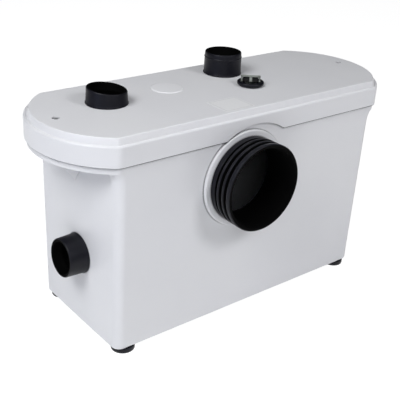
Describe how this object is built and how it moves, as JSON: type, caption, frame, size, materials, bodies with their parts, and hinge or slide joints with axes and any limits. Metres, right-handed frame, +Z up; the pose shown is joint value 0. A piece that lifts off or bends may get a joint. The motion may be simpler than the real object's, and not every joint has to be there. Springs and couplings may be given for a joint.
{
  "type": "sewage lifting station",
  "caption": "Compact macerator lifting station: moulded tank with an overhanging screwed lid, a rubber toilet inlet in front, small pipe sleeves, a vent and a pump with a cutter inside.",
  "frame": {"origin": "middle of the station's footprint on the floor, under the feet, with the front inlet's reach counted", "axes": "+X to the right along the front, +Y from the front with the toilet inlet to the back, +Z up"},
  "size_m": [0.5058, 0.219, 0.3072],
  "materials": {
    "shell": "satin, smooth",
    "seal_rubber": "matt",
    "vent_plastic": "translucent, smooth",
    "filter_plastic": "fine texture",
    "charcoal": "porous",
    "gland_plastic": "satin",
    "pump_plastic": "satin",
    "basket_plastic": "satin",
    "stainless": "brushed",
    "core_iron": "stacked sheets",
    "copper_wire": "enamelled",
    "shield_metal": "die cast"
  },
  "bodies": {
    "station": {"basket": "basket_plastic", "bearing_lower": "stainless", "bearing_upper": "stainless", "cable_gland": "gland_plastic", "cable_gland_nut": "gland_plastic", "capacitor": "shield_metal", "charcoal_filter": "charcoal", "check_valve_body": "pump_plastic", "control_box": "filter_plastic", "control_box_cover": "filter_plastic", "discharge_elbow": "seal_rubber", "discharge_sleeve": "seal_rubber", "filter_cup": "filter_plastic", "foot_back_left": "seal_rubber", "foot_back_right": "seal_rubber", "foot_front_left": "seal_rubber", "foot_front_right": "seal_rubber", "hose_clamp": "stainless", "lid": "shell", "lid_gasket": "seal_rubber", "lid_screw_left": "stainless", "lid_screw_right": "stainless", "membrane": "seal_rubber", "micro_switch": "pump_plastic", "motor_base": "pump_plastic", "motor_can": "stainless", "motor_cap": "pump_plastic", "motor_end_shield": "shield_metal", "motor_lead": "seal_rubber", "pressure_bell": "pump_plastic", "pump_casing": "pump_plastic", "pump_mount": "seal_rubber", "riser_pipe": "pump_plastic", "shaft_seal": "pump_plastic", "side_flap_frame": "pump_plastic", "side_inlet_sleeve": "seal_rubber", "stator": "core_iron", "suction_cover": "pump_plastic", "tank_floor_and_back": "shell", "tank_front": "shell", "tank_left_end": "shell", "tank_right_end": "shell", "terminal_block": "pump_plastic", "tie_rod_1": "stainless", "tie_rod_2": "stainless", "tie_rod_3": "stainless", "top_inlet_sleeve": "seal_rubber", "vent_cap": "vent_plastic", "vent_grommet": "seal_rubber", "wc_inlet_sleeve": "seal_rubber", "winding_lower": "copper_wire", "winding_upper": "copper_wire"},
    "rotor": {"shaft": "stainless", "rotor_core": "core_iron", "impeller": "pump_plastic", "cutter": "stainless"},
    "discharge_flap": {"check_valve_flap": "seal_rubber"},
    "inlet_flap": {"side_flap": "seal_rubber"},
    "level_plunger": {"plunger": "pump_plastic"},
    "switch_arm": {"switch_lever": "stainless"}
  },
  "joints": [
    {"name": "rotor_spin", "type": "hinge", "parent": "station", "child": "rotor", "pos_m": [-0.04, 0.0315, 0.1], "axis": [0, 0, 1], "continuous": true},
    {"name": "discharge_flap_swing", "type": "hinge", "parent": "station", "child": "discharge_flap", "pos_m": [0.0304, 0.0609, 0.0647], "axis": [0, -1, 0], "range_deg": [0, 65]},
    {"name": "inlet_flap_swing", "type": "hinge", "parent": "station", "child": "inlet_flap", "pos_m": [-0.1848, 0.0135, 0.1322], "axis": [0, -1, 0], "range_deg": [0, 70]},
    {"name": "plunger_lift", "type": "slide", "parent": "station", "child": "level_plunger", "axis": [0, 0, 1], "range_m": [0, 0.002], "stiffness_N_per_m": 400},
    {"name": "lever_tilt", "type": "hinge", "parent": "station", "child": "switch_arm", "pos_m": [0.129, 0.0175, 0.2102], "axis": [0, -1, 0], "range_deg": [0, 11]}
  ],
  "couplings": [
    {"joint": "lever_tilt", "follows": "plunger_lift", "rad_per_m": 90.909}
  ]
}
